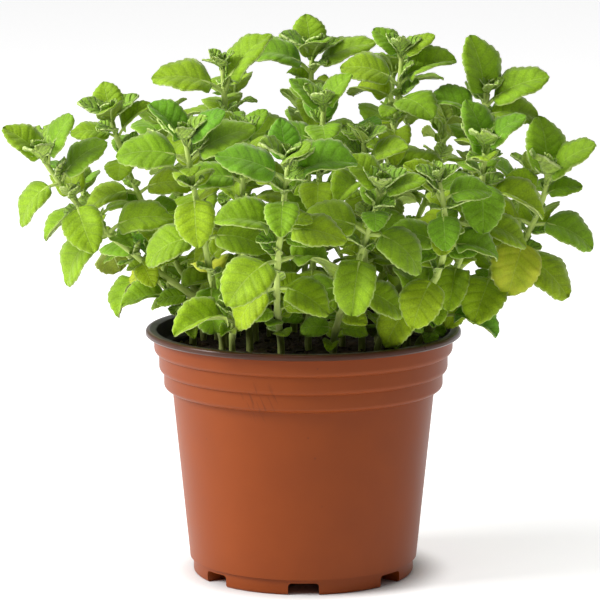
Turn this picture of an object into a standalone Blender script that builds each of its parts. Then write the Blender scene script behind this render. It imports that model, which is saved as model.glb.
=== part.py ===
"""A bushy potted herb with opposite leaves, in a stepped two-tone nursery pot.

Units are metres. The origin is on the surface that the pot stands on, under the middle of the pot.
+Z is up and -Y is the front. Each rooted shoot is one solid, because its leaves grow out of its stem.
"""
import bpy
import bmesh
from collections import namedtuple
from math import cos, pi, radians, sin
from mathutils import Matrix, Vector
from mathutils.bvhtree import BVHTree

MM = 0.001

# Pot
POT_HEIGHT = 102 * MM
WALL = 1.1 * MM
RIM_RADIUS = 65 * MM
RIM_DEPTH = 2.6 * MM
RIM_OVERHANG = 3.4 * MM      # how far the lip stands out over the uppermost band
LIP_ROUND = 0.8 * MM         # bevel of the lip's upper edge
LIP_UNDER = 0.6 * MM         # bevel of the lip's lower edge and of the mouth
BAND_COUNT = 3
BAND_STEP = 2.0 * MM         # how much narrower each band is than the one above
BAND_HEIGHT = 7.4 * MM
BAND_ROUND = 2.4 * MM        # height of the rounding at a band's lower edge
BAND_LEDGE = 0.2 * MM        # fall of the narrow ledge under a band
BODY_STEP = 3.5 * MM         # the tapered wall stands in from the lowest band
BODY_TAPER = 7.0 * MM        # how much the tapered wall narrows from the bands to the foot ring
FOOT_STEP = 1.4 * MM         # the foot ring stands in from the wall
FOOT_HEIGHT = 6.3 * MM
FOOT_WIDTH = 9.5 * MM
FOOT_ROUND = 1.2 * MM
FOOT_LEDGE = 0.3 * MM        # fall of the narrow ledge between wall and foot ring
FLOOR = 1.2 * MM
FLOOR_BEVEL = 1.5 * MM       # at the floor's edge inside, and round the bottom of the soil
NOTCH_COUNT = 7
NOTCH_WIDTH = 12.5 * MM
NOTCH_HEIGHT = 4.9 * MM
NOTCH_ROUND = 1.5 * MM
NOTCH_SPARE = 6 * MM         # how far a notch's cutter runs past each side of the foot ring
DRAIN_RADIUS = 4 * MM
DRAIN_RING = 26 * MM
TURNED_STEPS = 28            # a multiple of NOTCH_COUNT, so that the notches meet alike facets

# Potting soil
FIT_GAP = 0.3 * MM           # between two pieces that touch
HEADSPACE = 11 * MM          # from the rim down to the soil at the wall
MOUND = 2.5 * MM
ROOT_DEPTH = 12 * MM

# Stems and leaves
STEM_RADIUS = 1.5 * MM
STEM_TAPER = 0.6             # radius at the tip, as a share of the radius at the root
STEM_POINTS = 8
STEM_SIDES = 6
LEAF_THICKNESS = 0.9 * MM
LEAF_WIDTH = 0.84            # blade width as a share of blade length
PETIOLE = 0.28               # petiole length as a share of blade length
PETIOLE_WIDTH = 1.3 * MM
LEAF_REACH = 34              # degrees that a level leaf's petiole rises over the leaf's own line
LEAF_CURL = 38               # degrees that the blade bends down from petiole to tip
LEAF_SPARE = 0.5 * MM        # room kept all round a leaf
LEAF_START = 0.25 * MM       # a petiole springs from this far off its stem's middle
LOWEST_NODE = 5 * MM         # stems are bare below this height over the soil
STRAIGHT_STEM = 2 * MM       # a stem leaves the soil straight up for this far
FACE_LIGHT = 1.1             # how strongly a blade turns its face to the light
WINDOW = (-0.18, -1.08, 0.6)  # the way to the light for the front of the bush
WINDOW_REACH = 90 * MM       # how far behind the pot's middle the window's light still counts
SMALLEST_LEAF = 12.2 * MM    # smaller ones, in the buds, are not solids of their own

Shoot = namedtuple("Shoot", "name root bend tip pairs")
Pair = namedtuple("Pair", "down turn length lift far_lift")
Leaf = namedtuple("Leaf", "origin axis light turn lift length")


def usual_pairs(turn, length, count):
    """Leaf pairs of a plain upright shoot, each turned a quarter from the one above."""
    downs = (2, 9, 19, 34, 52, 72, 92)
    lengths = (0.62, 0.92, 1.0, 1.0, 0.95, 0.9, 0.8)
    lifts = (50, 22, -8, -26, -36, -40, -36)
    return [Pair(downs[n], turn + 90 * n, length * lengths[n], lifts[n], lifts[n] - 6) for n in range(count)]


# Millimetres and degrees, for a rim of 65 mm radius: the bush spreads with the rim. A root is an X, Y
# place in the soil, and a shoot curves past its bend to its tip, whose heights are over the rim. A pair
# sits some way down from the tip. Its first leaf points along turn, where 0 is +X and 90 is +Y, at a
# lift over the level, and its second leaf points the other way at the far lift.
SPREAD = RIM_RADIUS / (65 * MM)
SHOOTS = [
    Shoot("shoot_outer_left", (-32, 2), (-79, -4, 26), (-104.5, -15, 70.5), [
        Pair(2, 175, 19, 58, 44), Pair(11, 0, 21, 22, -38), Pair(22, 270, 21, -66, 10),
        Pair(40, 180, 24, -38, -15), Pair(58, 275, 12.5, -60, -20)]),
    Shoot("shoot_upper_left", (-36, 22), (-62, 16, 23), (-79, 10, 85), [
        Pair(2, 100, 15, 62, 25), Pair(8, 185, 16, 8, 28), Pair(18, 80, 15, 20, -30),
        Pair(33, 180, 20, -15, -10), Pair(50, 95, 19, -20, -50), Pair(68, 0, 18, -25, -30)]),
    Shoot("shoot_upper_left_centre", (-20, 12), (-30, 4, 48), (-33, 0, 107), [
        Pair(2, 150, 11, 40, 35), Pair(10, 0, 25, 50, 8), Pair(21, 275, 20, -20, 10),
        Pair(32, 5, 25, -5, -10), Pair(50, 95, 22, -15, -45), Pair(72, 0, 20, -30, -30)]),
    Shoot("shoot_top_centre", (0, 30), (2, 27, 48), (3.5, 25, 109), [
        Pair(2, 110, 17, 68, 30), Pair(6, 0, 24, 40, 12), Pair(20, 95, 18, 10, -25),
        Pair(34, 180, 22, -5, 0), Pair(52, 90, 21, -15, -40), Pair(72, 0, 20, -25, -25)]),
    Shoot("shoot_front_left", (-33, -16), (-36, -48, 20), (-46, -58, 83), [
        Pair(2, 165, 18, 52, 35), Pair(8, 0, 24, 18, 4), Pair(22, 270, 20, -68, 0),
        Pair(42, 180, 22, -25, -20), Pair(62, 270, 20, -55, -20)]),
    Shoot("shoot_front_centre", (-9, -28), (-14, -76, 14), (-6, -80, 77), [
        Pair(2, 120, 16, 66, 35), Pair(7, 0, 24, 18, 12), Pair(14, 270, 17, -48, 5),
        Pair(28, 182, 22, 6, -18), Pair(41, 215, 24, -42, -30), Pair(56, 190, 20, -58, -40)]),
    Shoot("shoot_centre_right", (12, -27), (16, -62, 16), (30, -68, 65), [
        Pair(2, 170, 16, 45, 25), Pair(9, 275, 13, -20, 30), Pair(18, 350, 23, -32, -5),
        Pair(27, 270, 23, -70, -5), Pair(46, 0, 20, -30, -35)]),
    Shoot("shoot_right_centre", (30, -22), (66, -56, 14), (53, -60, 68), [
        Pair(2, 95, 11, 60, 35), Pair(8, 190, 17, 45, 0), Pair(13, 270, 15, -62, 10),
        Pair(28, 0, 20, -5, 0), Pair(42, 250, 21, -58, -20), Pair(58, 270, 20, -70, -20)]),
    Shoot("shoot_upper_right_centre", (16, 3), (35, -2, 38), (40, 0, 112), [
        Pair(2, 170, 14, 45, 38), Pair(7, 275, 12, -5, 60), Pair(12, 0, 21, 24, 12),
        Pair(19, 320, 20, -15, 0), Pair(30, 275, 20, -45, -10), Pair(48, 0, 21, -20, -20),
        Pair(68, 270, 20, -40, -30)]),
    Shoot("shoot_upper_centre", (2, -6), (5, -24, 38), (8, -28, 93), [
        Pair(2, 0, 16, 58, 45), Pair(8, 95, 17, 40, -15), Pair(15, 345, 19, -12, 5),
        Pair(30, 270, 18, -35, 0), Pair(50, 0, 20, -20, -20), Pair(68, 90, 18, -25, -40)]),
    Shoot("shoot_top_right", (31, 14), (62, 4, 33), (75, -5, 97), [
        Pair(2, 200, 11, 55, 45), Pair(6, 170, 24, 72, 30), Pair(11, 0, 20, 4, 10),
        Pair(24, 95, 20, 5, -25), Pair(42, 0, 20, -20, -15), Pair(62, 90, 19, -25, -40)]),
    Shoot("shoot_front_right", (42, -8), (68, -36, 16), (72, -42, 78), [
        Pair(2, 165, 19, 70, 52), Pair(6, 275, 14, 15, 45), Pair(12, 270, 21, -66, -5),
        Pair(17, 350, 23, -18, 10), Pair(32, 180, 20, -25, -20), Pair(50, 270, 19, -55, -20)]),
    Shoot("shoot_outer_right", (43, 8), (88, -6, 7), (99, -12, 62), [
        Pair(2, 150, 23, 76, 50), Pair(7, 0, 14, 22, 15), Pair(14, 0, 12, -25, 5),
        Pair(19, 0, 22.5, -20, -20), Pair(25, 270, 24, -74, 0), Pair(34, 350, 24, -30, -10),
        Pair(48, 270, 23, -66, -15), Pair(66, 90, 14, 10, -40)]),
    Shoot("shoot_low_right", (47, -8), (53, -11, 1), (58, -13, 9), [
        Pair(2, 0, 20, -12, 40), Pair(10, 90, 14, 0, 20)]),
    Shoot("shoot_low_left", (-46, 14), (-56, 10, 10), (-58, 6, 26), [
        Pair(2, 150, 15, 40, 30), Pair(16, 180, 18, -8, 0)]),
    Shoot("shoot_low_front", (-28, -42), (-30, -46, 2), (-26, -49, 16), [
        Pair(2, 300, 12, 50, 40), Pair(6, 207, 23, -12, -10)]),
    Shoot("shoot_inner_left", (-22, -7), (-26, -20, 28), (-24, -24, 82), usual_pairs(20, 20, 5)),
    Shoot("shoot_inner_right", (24, -6), (26, -26, 28), (24, -30, 80), usual_pairs(60, 20, 5)),
    Shoot("shoot_rear_inner_left", (-14, 28), (-24, 46, 38), (-30, 50, 98), usual_pairs(10, 22, 6)),
    Shoot("shoot_rear_inner_right", (16, 26), (32, 44, 38), (38, 48, 100), usual_pairs(70, 22, 6)),
    Shoot("shoot_back_left", (-28, 38), (-52, 64, 20), (-60, 70, 76), usual_pairs(30, 23, 6)),
    Shoot("shoot_back_centre", (-4, 44), (-6, 66, 20), (2, 71, 80), usual_pairs(0, 23, 6)),
    Shoot("shoot_back_right", (22, 40), (52, 62, 20), (62, 68, 78), usual_pairs(45, 23, 6)),
    Shoot("shoot_far_left", (-42, 27), (-80, 38, 16), (-96, 46, 56), usual_pairs(15, 21, 5)),
    Shoot("shoot_far_right", (40, 27), (78, 38, 16), (96, 42, 58), usual_pairs(80, 21, 5)),
]


def start_scene():
    """Empty the file and make one collection for the parts and one for the cutters."""
    for old in list(bpy.data.objects):
        bpy.data.objects.remove(old, do_unlink=True)
    collections = []
    for name in ("potted_herb", "potted_herb_cutters"):
        collection = bpy.data.collections.new(name)
        bpy.context.scene.collection.children.link(collection)
        collections.append(collection)
    return collections


def make_material(name, colour, roughness):
    material = bpy.data.materials.new(name)
    material.use_nodes = True
    shader = material.node_tree.nodes["Principled BSDF"]
    shader.inputs["Base Color"].default_value = (*colour, 1)
    shader.inputs["Roughness"].default_value = roughness
    shader.inputs["Metallic"].default_value = 0
    material.diffuse_color = (*colour, 1)
    return material


def add_object(name, mesh, collection, material=None):
    item = bpy.data.objects.new(name, mesh)
    collection.objects.link(item)
    if material:
        mesh.materials.clear()
        mesh.materials.append(material)
    return item


def add_cutter(name, work):
    """Turn a bmesh into a wire-drawn cutter object."""
    mesh = bpy.data.meshes.new(name)
    work.to_mesh(mesh)
    work.free()
    item = add_object(name, mesh, CUTTERS)
    item.hide_render = True
    item.display_type = "WIRE"
    return item


def boolean(item, operation, operand):
    """Add an exact Boolean with one object or a whole collection."""
    step = item.modifiers.new(operation.lower(), "BOOLEAN")
    step.operation = operation
    step.solver = "EXACT"
    if isinstance(operand, bpy.types.Collection):
        step.operand_type = "COLLECTION"
        step.collection = operand
    else:
        step.object = operand


def turned(name, profile, material):
    """Turn a profile of (radius, height) points, outer side running down, about the Z axis."""
    work = bmesh.new()
    points = [work.verts.new((radius, 0, height)) for radius, height in profile]
    for first, second in zip(points, points[1:]):
        work.edges.new((first, second))
    mesh = bpy.data.meshes.new(name)
    work.to_mesh(mesh)
    work.free()
    item = add_object(name, mesh, PARTS, material)
    screw = item.modifiers.new("turn", "SCREW")
    screw.axis = "Z"
    screw.steps = TURNED_STEPS
    screw.render_steps = TURNED_STEPS
    screw.use_merge_vertices = True
    screw.merge_threshold = 0.00005
    return item


# Pot: one moulding, with the lip, the bands, the tapered wall and the foot ring in one turned profile.

def pot_wall(arc=(0, 45, 90)):
    """Outside of the wall under the lip, top to bottom, as (radius, height) points."""
    top = POT_HEIGHT - RIM_DEPTH
    radius = RIM_RADIUS - RIM_OVERHANG
    points = []
    for band in range(BAND_COUNT):
        below = radius - (BAND_STEP if band < BAND_COUNT - 1 else BODY_STEP)
        bottom = top - BAND_HEIGHT
        points.append((radius, top))
        for angle in arc:
            inward = (radius - below) * (1 - cos(radians(angle)))
            points.append((radius - inward, bottom + BAND_ROUND * (1 - sin(radians(angle)))))
        top = bottom - BAND_LEDGE
        radius = below
    points.append((radius, top))
    points.append((radius - BODY_TAPER, FOOT_HEIGHT + FOOT_LEDGE))
    return points


def pot_inside(gap=0.0):
    """Inside of the wall, bottom to top, moved inward and upward by a gap."""
    lift = 0.6 * WALL
    return [(radius - WALL - gap, height + lift + gap) for radius, height in reversed(pot_wall((0, 90)))]


def make_pot():
    foot = pot_wall()[-1][0] - FOOT_STEP
    inside = pot_inside()
    mouth = RIM_RADIUS - RIM_OVERHANG - WALL
    profile = [(0, FOOT_HEIGHT), (inside[0][0] - FLOOR_BEVEL, FOOT_HEIGHT)]
    profile += [point for point in inside if point[1] < POT_HEIGHT - RIM_DEPTH]
    profile += [(mouth, POT_HEIGHT - LIP_UNDER), (mouth + LIP_UNDER, POT_HEIGHT)]
    profile += [(RIM_RADIUS - LIP_ROUND, POT_HEIGHT), (RIM_RADIUS, POT_HEIGHT - LIP_ROUND)]
    profile += [(RIM_RADIUS, POT_HEIGHT - RIM_DEPTH + LIP_UNDER)]
    profile += [(RIM_RADIUS - LIP_UNDER, POT_HEIGHT - RIM_DEPTH)]
    profile += pot_wall()
    profile += [(foot, FOOT_HEIGHT), (foot, FOOT_ROUND), (foot - FOOT_ROUND, 0)]
    profile += [(foot - FOOT_WIDTH, 0), (foot - FOOT_WIDTH, FOOT_HEIGHT - FLOOR), (0, FOOT_HEIGHT - FLOOR)]
    pot = turned("pot", profile, make_material("terracotta_plastic", (0.42, 0.13, 0.05), 0.45))

    for number in range(NOTCH_COUNT):
        angle = 2 * pi * number / NOTCH_COUNT - pi / 2
        turn = Matrix.Rotation(angle, 4, "Z")

        notch = bmesh.new()
        bmesh.ops.create_cube(notch, size=1)
        size = Vector((FOOT_WIDTH + 2 * NOTCH_SPARE, NOTCH_WIDTH, 2 * NOTCH_HEIGHT))
        bmesh.ops.scale(notch, vec=size, verts=notch.verts)
        ridges = [e for e in notch.edges if all(v.co.z > 0 for v in e.verts)
                  and abs(e.verts[0].co.y - e.verts[1].co.y) < MM]
        bmesh.ops.bevel(notch, geom=ridges, offset=NOTCH_ROUND, segments=2, affect="EDGES", profile=0.5)
        place = turn @ Matrix.Translation((foot - FOOT_WIDTH / 2, 0, 0))
        bmesh.ops.transform(notch, matrix=place, verts=notch.verts)
        boolean(pot, "DIFFERENCE", add_cutter(f"notch_cutter_{number + 1}", notch))

        drain = bmesh.new()
        place = turn @ Matrix.Translation((DRAIN_RING, 0, FOOT_HEIGHT))
        bmesh.ops.create_cone(drain, cap_ends=True, segments=8, radius1=DRAIN_RADIUS,
                              radius2=DRAIN_RADIUS, depth=4 * FLOOR, matrix=place)
        boolean(pot, "DIFFERENCE", add_cutter(f"drain_cutter_{number + 1}", drain))
    return pot


# Potting soil: fills the pot up to the headspace, with a socket for each shoot's buried end.

def soil_height(radius):
    """Height of the soil surface, highest in the middle."""
    edge = POT_HEIGHT - HEADSPACE
    return edge + MOUND * cos(min(1, radius / RIM_RADIUS) * pi / 2)


def make_soil():
    edge = POT_HEIGHT - HEADSPACE
    side = [point for point in pot_inside(FIT_GAP) if point[1] < edge - MM]
    rim = side[-1][0]
    profile = [(radius * rim, soil_height(radius * rim)) for radius in (0, 0.35, 0.7)]
    profile += [(rim - BAND_LEDGE, edge)]
    profile += list(reversed(side))
    profile += [(side[0][0] - FLOOR_BEVEL, FOOT_HEIGHT + FIT_GAP), (0, FOOT_HEIGHT + FIT_GAP)]
    soil = turned("potting_soil", profile, make_material("potting_soil", (0.03, 0.02, 0.013), 0.95))

    sockets = bpy.data.collections.new("root_sockets")
    CUTTERS.children.link(sockets)
    for shoot in SHOOTS:
        bottom = root_end(shoot)
        depth = 2 * ROOT_DEPTH
        work = bmesh.new()
        place = Matrix.Translation(bottom + Vector((0, 0, depth / 2 - FIT_GAP)))
        radius = (STEM_RADIUS + FIT_GAP) / cos(pi / STEM_SIDES)
        bmesh.ops.create_cone(work, cap_ends=True, segments=STEM_SIDES, radius1=radius, radius2=radius,
                              depth=depth, matrix=place)
        cutter = add_cutter(f"socket_cutter_{shoot.name}", work)
        CUTTERS.objects.unlink(cutter)
        sockets.objects.link(cutter)
    boolean(soil, "DIFFERENCE", sockets)
    return soil


# Stems

def bush_place(x, y, over_rim):
    """A place given in millimetres in plan and over the rim."""
    return Vector((x * SPREAD * MM, y * SPREAD * MM, POT_HEIGHT + over_rim * MM))


def root_end(shoot):
    place = bush_place(*shoot.root, 0)
    place.z = soil_height(0) - ROOT_DEPTH
    return place


def stem_line(shoot, count):
    """Points along a shoot's centre line: straight out of the soil, then a curve past the bend."""
    bottom = root_end(shoot)
    start = bottom + Vector((0, 0, ROOT_DEPTH + STRAIGHT_STEM))
    bend = bush_place(*shoot.bend)
    tip = bush_place(*shoot.tip)
    rise = start + Vector((0, 0, 0.35 * (bend - start).length))
    points = [bottom]
    for step in range(count):
        t = step / (count - 1)
        s = 1 - t
        points.append(s**3 * start + 3 * s * s * t * rise + 3 * s * t * t * bend + t**3 * tip)
    return points


def make_stem(shoot, material):
    """A tapered tube along the shoot's line, turned into a mesh so that leaves can join it."""
    points = stem_line(shoot, STEM_POINTS)
    curve = bpy.data.curves.new(shoot.name, "CURVE")
    curve.dimensions = "3D"
    curve.bevel_depth = STEM_RADIUS
    curve.bevel_resolution = STEM_SIDES // 2 - 2
    curve.use_fill_caps = True
    spline = curve.splines.new("POLY")
    spline.points.add(len(points) - 1)
    for number, point in enumerate(points):
        spline.points[number].co = (*point, 1)
        spline.points[number].radius = 1 - (1 - STEM_TAPER) * number / (len(points) - 1)
    guide = bpy.data.objects.new(f"{shoot.name}_line", curve)
    PARTS.objects.link(guide)
    bpy.context.view_layer.update()
    mesh = bpy.data.meshes.new_from_object(guide.evaluated_get(bpy.context.evaluated_depsgraph_get()))
    work = bmesh.new()
    work.from_mesh(mesh)
    bmesh.ops.remove_doubles(work, verts=work.verts, dist=0.00005)
    work.to_mesh(mesh)
    work.free()
    stem = add_object(shoot.name, mesh, PARTS, material)
    stem.matrix_world = guide.matrix_world
    bpy.data.objects.remove(guide, do_unlink=True)
    return stem


# Leaves: each springs from the middle of its stem, arches over and turns its face out of the bush.

def node_on_stem(shoot, down):
    """The place some way down from a shoot's tip, and the direction in which the stem grows there."""
    points = stem_line(shoot, STEM_POINTS)
    left = down
    for upper, lower in zip(reversed(points), reversed(points[:-1])):
        step = (upper - lower).length
        if left <= step:
            return upper.lerp(lower, left / step), (upper - lower).normalized()
        left -= step
    return None


def light_way(place):
    """The way to the light: up and out of the bush, and to the window for the front of the bush."""
    outward = Vector((place.x, place.y, 0)).normalized() + Vector((0, 0, 0.6))
    share = max(0, min(1, 1 - place.y / WINDOW_REACH))
    return (outward.normalized() * (1 - share) + Vector(WINDOW) * share).normalized()


def leaf_matrix(leaf):
    """Frame of a leaf: X along it, Z out of its upper face."""
    turn = radians(leaf.turn)
    level = Vector((cos(turn), sin(turn), 0))
    level = (level - leaf.axis * level.dot(leaf.axis)).normalized()
    lift = radians(leaf.lift)
    along = cos(lift) * level + sin(lift) * leaf.axis
    face = cos(lift) * leaf.axis - sin(lift) * level
    face += FACE_LIGHT * leaf.light
    across = face.cross(along).normalized()
    face = along.cross(across)
    start = leaf.origin + along * LEAF_START
    return Matrix.Translation(start) @ Matrix((along, across, face)).transposed().to_4x4()


# Outlines of a blade, as (share of its length, share of its half width).
SOLID_BLADE = ((0, 0.07), (0.42, 1), (1, 0.3))
ROOM_FOR_BLADE = ((0, 0.4), (0.2, 0.95), (0.42, 1), (0.7, 0.85), (1, 0.3))


def leaf_sections(leaf, outline):
    """Stations down a leaf, as (distance along, height, half width), from the stem to the tip."""
    blade = leaf.length
    stalk = PETIOLE * blade
    total = stalk + blade
    stations = [(0, PETIOLE_WIDTH / 2)]
    for share, width in outline:
        half = max(PETIOLE_WIDTH / 2, width * LEAF_WIDTH * blade / 2)
        stations.append((stalk + share * blade, half))
    reach = LEAF_REACH * (1 - leaf.lift / 90)
    along = height = before = 0.0
    sections = []
    for distance, half in stations:
        middle = (distance + before) / 2 / total
        slope = radians(reach * (1 - middle) ** 2 - LEAF_CURL * (middle - 0.4))
        along += cos(slope) * (distance - before)
        height += sin(slope) * (distance - before)
        before = distance
        sections.append((along, height, half))
    return sections


def leaf_envelope(leaf):
    """A closed block a little larger than the leaf, for finding whether it has room."""
    place = leaf_matrix(leaf)
    half = LEAF_THICKNESS / 2 + LEAF_SPARE
    corners = []
    for along, height, width in leaf_sections(leaf, ROOM_FOR_BLADE):
        side = width + LEAF_SPARE
        ring = ((side, half), (side, -half), (-side, -half), (-side, half))
        corners += [place @ Vector((along, y, height + z)) for y, z in ring]
    faces = [(0, 1, 2, 3)]
    last = len(corners) - 4
    faces.append((last, last + 3, last + 2, last + 1))
    for ring in range(0, last, 4):
        faces += [(ring + n, ring + (n + 1) % 4, ring + 4 + (n + 1) % 4, ring + 4 + n) for n in range(4)]
    middle = sum(corners, Vector()) / len(corners)
    reach = max((corner - middle).length for corner in corners)
    return BVHTree.FromPolygons(corners, faces), middle, reach


def leaf_tries(leaf):
    """The leaf as it would like to grow, then turned, lifted and made smaller step by step."""
    nudges = ((0, 0), (9, 0), (-9, 0), (0, 9), (0, -9), (14, 10), (-14, 10), (14, -12), (-14, -12),
              (22, 0), (-22, 0), (0, 20), (0, -20), (30, 14), (-30, 14), (30, -18), (-30, -18),
              (40, 0), (-40, 0), (0, 32), (0, -32))
    for size in (1, 0.9, 0.8, 0.7, 0.6):
        for turn, lift in nudges:
            yield leaf._replace(turn=leaf.turn + turn, lift=leaf.lift + lift, length=leaf.length * size)


def grow_leaves():
    """Settle every shoot's leaves, nearest the tips first, so that no two of them touch."""
    depsgraph = bpy.context.evaluated_depsgraph_get()
    bodies = {item.name: BVHTree.FromObject(item, depsgraph) for item in PARTS.objects}
    grown = {shoot.name: [] for shoot in SHOOTS}
    taken = []
    most = max(len(shoot.pairs) for shoot in SHOOTS)
    for rank in range(most):
        for shoot in SHOOTS:
            if rank >= len(shoot.pairs):
                continue
            pair = shoot.pairs[rank]
            place = node_on_stem(shoot, pair.down * MM)
            if place is None or place[0].z < soil_height(0) + LOWEST_NODE:
                continue
            origin, stem_way = place
            axis = (stem_way + Vector((0, 0, 1))).normalized()
            for turn, lift in ((pair.turn, pair.lift), (pair.turn + 180, pair.far_lift)):
                wish = Leaf(origin, axis, light_way(origin), turn, lift, pair.length * MM)
                for leaf in leaf_tries(wish):
                    if leaf.length < SMALLEST_LEAF:
                        continue
                    tree, middle, reach = leaf_envelope(leaf)
                    if any(name != shoot.name and tree.overlap(body) for name, body in bodies.items()):
                        continue
                    near = [other for other, centre, size, node in taken
                            if (centre - middle).length < size + reach and node != (shoot.name, rank)]
                    if any(tree.overlap(other) for other in near):
                        continue
                    taken.append((tree, middle, reach, (shoot.name, rank)))
                    grown[shoot.name].append(leaf)
                    break
    return grown


def make_leaf(name, leaf):
    """A strip of blade with its petiole, given its thickness by Solidify."""
    sections = leaf_sections(leaf, SOLID_BLADE)
    work = bmesh.new()
    bmesh.ops.create_grid(work, x_segments=len(sections) - 1, y_segments=1, size=1)
    columns = sorted({round(vert.co.x, 4) for vert in work.verts})
    for vert in work.verts:
        along, height, width = sections[columns.index(round(vert.co.x, 4))]
        vert.co = (along, width if vert.co.y > 0 else -width, height)
    item = add_cutter(name, work)
    item.matrix_world = leaf_matrix(leaf)
    shell = item.modifiers.new("thickness", "SOLIDIFY")
    shell.thickness = LEAF_THICKNESS
    shell.offset = 0
    return item


def add_leaves(stem, leaves):
    """Join a shoot's leaves to its stem."""
    blades = bpy.data.collections.new(f"{stem.name}_leaves")
    CUTTERS.children.link(blades)
    for number, leaf in enumerate(leaves):
        blade = make_leaf(f"{stem.name}_leaf_{number + 1}", leaf)
        CUTTERS.objects.unlink(blade)
        blades.objects.link(blade)
    boolean(stem, "UNION", blades)


def main():
    make_pot()
    make_soil()
    leaf_green = make_material("leaf_green", (0.12, 0.30, 0.05), 0.6)
    stems = [make_stem(shoot, leaf_green) for shoot in SHOOTS]
    bpy.context.view_layer.update()
    grown = grow_leaves()
    for stem in stems:
        add_leaves(stem, grown[stem.name])
    for item in PARTS.objects:
        item.data.shade_smooth()
        item.data.set_sharp_from_angle(angle=radians(35))


PARTS, CUTTERS = start_scene()
main()
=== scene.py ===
"""A bushy potted herb with broad opposite leaves, in a two-tone nursery pot: its visible surfaces.

Metres, with the origin on the surface that the pot stands on, +Z up and -Y the front. The sections
follow the order of making: the pot, its soil, the rooted shoots with their leaves, and the studio.
"""

from collections import namedtuple
from math import cos, exp, pi, radians, sin, tan
from random import Random

import bpy
import numpy as np
from mathutils import Matrix, Vector, noise
from mathutils.bvhtree import BVHTree


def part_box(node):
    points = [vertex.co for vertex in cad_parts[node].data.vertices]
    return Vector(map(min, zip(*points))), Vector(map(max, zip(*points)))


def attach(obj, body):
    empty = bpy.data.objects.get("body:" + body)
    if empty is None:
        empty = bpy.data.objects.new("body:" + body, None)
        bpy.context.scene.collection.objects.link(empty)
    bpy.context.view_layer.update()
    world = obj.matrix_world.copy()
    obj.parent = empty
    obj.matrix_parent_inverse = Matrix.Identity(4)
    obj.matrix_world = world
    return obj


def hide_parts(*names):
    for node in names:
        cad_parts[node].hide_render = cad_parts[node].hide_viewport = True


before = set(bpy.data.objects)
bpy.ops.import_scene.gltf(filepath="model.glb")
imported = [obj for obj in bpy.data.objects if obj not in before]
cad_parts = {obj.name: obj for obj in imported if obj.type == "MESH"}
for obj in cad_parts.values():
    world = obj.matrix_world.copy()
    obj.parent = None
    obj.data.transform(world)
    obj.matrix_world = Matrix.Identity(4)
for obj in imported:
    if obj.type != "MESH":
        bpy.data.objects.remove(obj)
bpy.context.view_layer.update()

# ---------------------------------------------------------------------------------------------------
# Nursery pot. Injection-moulded polypropylene in two tones, a terracotta skin over black, which meet
# in the thin rolled lip. Three bands step in under the lip, the wall tapers to a foot ring with seven
# notches, and a drain hole stands behind each notch.

MM = 0.001
pot_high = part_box("pot")[1]
POT_HEIGHT = pot_high.z
RIM_RADIUS = pot_high.x
WALL = 1.1 * MM
RIM_DEPTH = 2.6 * MM
RIM_OVERHANG = 3.4 * MM
LIP_UNDERCUT = 0.7 * MM
LIP_CHAMFER = 0.6 * MM
LIP_ROUND = 1.1 * MM
LIP_SKIN = 1.7 * MM
LIP_DIP = 0.05 * MM
BAND_COUNT = 3
BAND_STEP = 2.0 * MM
BAND_HEIGHT = 7.4 * MM
BAND_ROUND = 2.4 * MM
BAND_LEDGE = 0.2 * MM
RIDGE_LIFT = 0.6 * WALL
BODY_STEP = 3.5 * MM
BODY_TAPER = 7.0 * MM
FOOT_STEP = 1.4 * MM
FOOT_HEIGHT = 6.3 * MM
FOOT_WIDTH = 9.5 * MM
FOOT_ROUND = 1.2 * MM
FOOT_LEDGE = 0.3 * MM
FOOT_EASE = 0.4 * MM
FLOOR = 1.2 * MM
NOTCH_COUNT = 7
NOTCH_WIDTH = 12.5 * MM
NOTCH_HEIGHT = 4.9 * MM
NOTCH_ROUND = 1.5 * MM
NOTCH_SPARE = 6 * MM
DRAIN_RADIUS = 4 * MM
DRAIN_RING = 26 * MM
POT_STEPS = 224
POT_CENTRE = 3 * MM
SAME_PLACE = 0.001 * MM
SKIN_EDGE = 0.1 * MM

# How the mouth's inner edge and the floor's corner are eased, in millimetres. The mouth is given past
# its edge and down from the top, and the floor in from the wall and over the floor.
MOUTH_EASE = ((0.6, 0.2), (0.1, 0.45), (0, 0.8))
FLOOR_EASE = ((0.5, 0.2), (2, 0))


def wall_outside(arc):
    """Outside of the wall under the lip, top to bottom, as (radius, height) points."""
    top = POT_HEIGHT - RIM_DEPTH
    radius = RIM_RADIUS - RIM_OVERHANG
    points = []
    for band in range(BAND_COUNT):
        below = radius - (BAND_STEP if band < BAND_COUNT - 1 else BODY_STEP)
        bottom = top - BAND_HEIGHT
        points.append((radius, top))
        for angle in arc:
            inward = (radius - below) * (1 - cos(radians(angle)))
            points.append((radius - inward, bottom + BAND_ROUND * (1 - sin(radians(angle)))))
        top = bottom - BAND_LEDGE
        radius = below
    points.append((radius, top))
    points.append((radius - BODY_TAPER, FOOT_HEIGHT + FOOT_LEDGE))
    return points


def wall_inside():
    """Inside of the wall, bottom to top: the bands show there as ridges."""
    coarse = reversed(wall_outside((0, 30, 60, 90)))
    inside = [(radius - WALL, height + RIDGE_LIFT) for radius, height in coarse]
    return [point for point in inside if point[1] < POT_HEIGHT - RIM_DEPTH]


def quarter(radius, height, across, up, count=4):
    """Points of a rounded corner from (radius, height), first going up, then across."""
    turns = [n / count * pi / 2 for n in range(count + 1)]
    return [(radius + across * (1 - cos(turn)), height + up * sin(turn)) for turn in turns]


def pick(*items):
    """Select only the given objects, and make the first one active."""
    bpy.ops.object.select_all(action="DESELECT")
    for item in items:
        item.select_set(True)
    if items:
        bpy.context.view_layer.objects.active = items[0]


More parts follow.
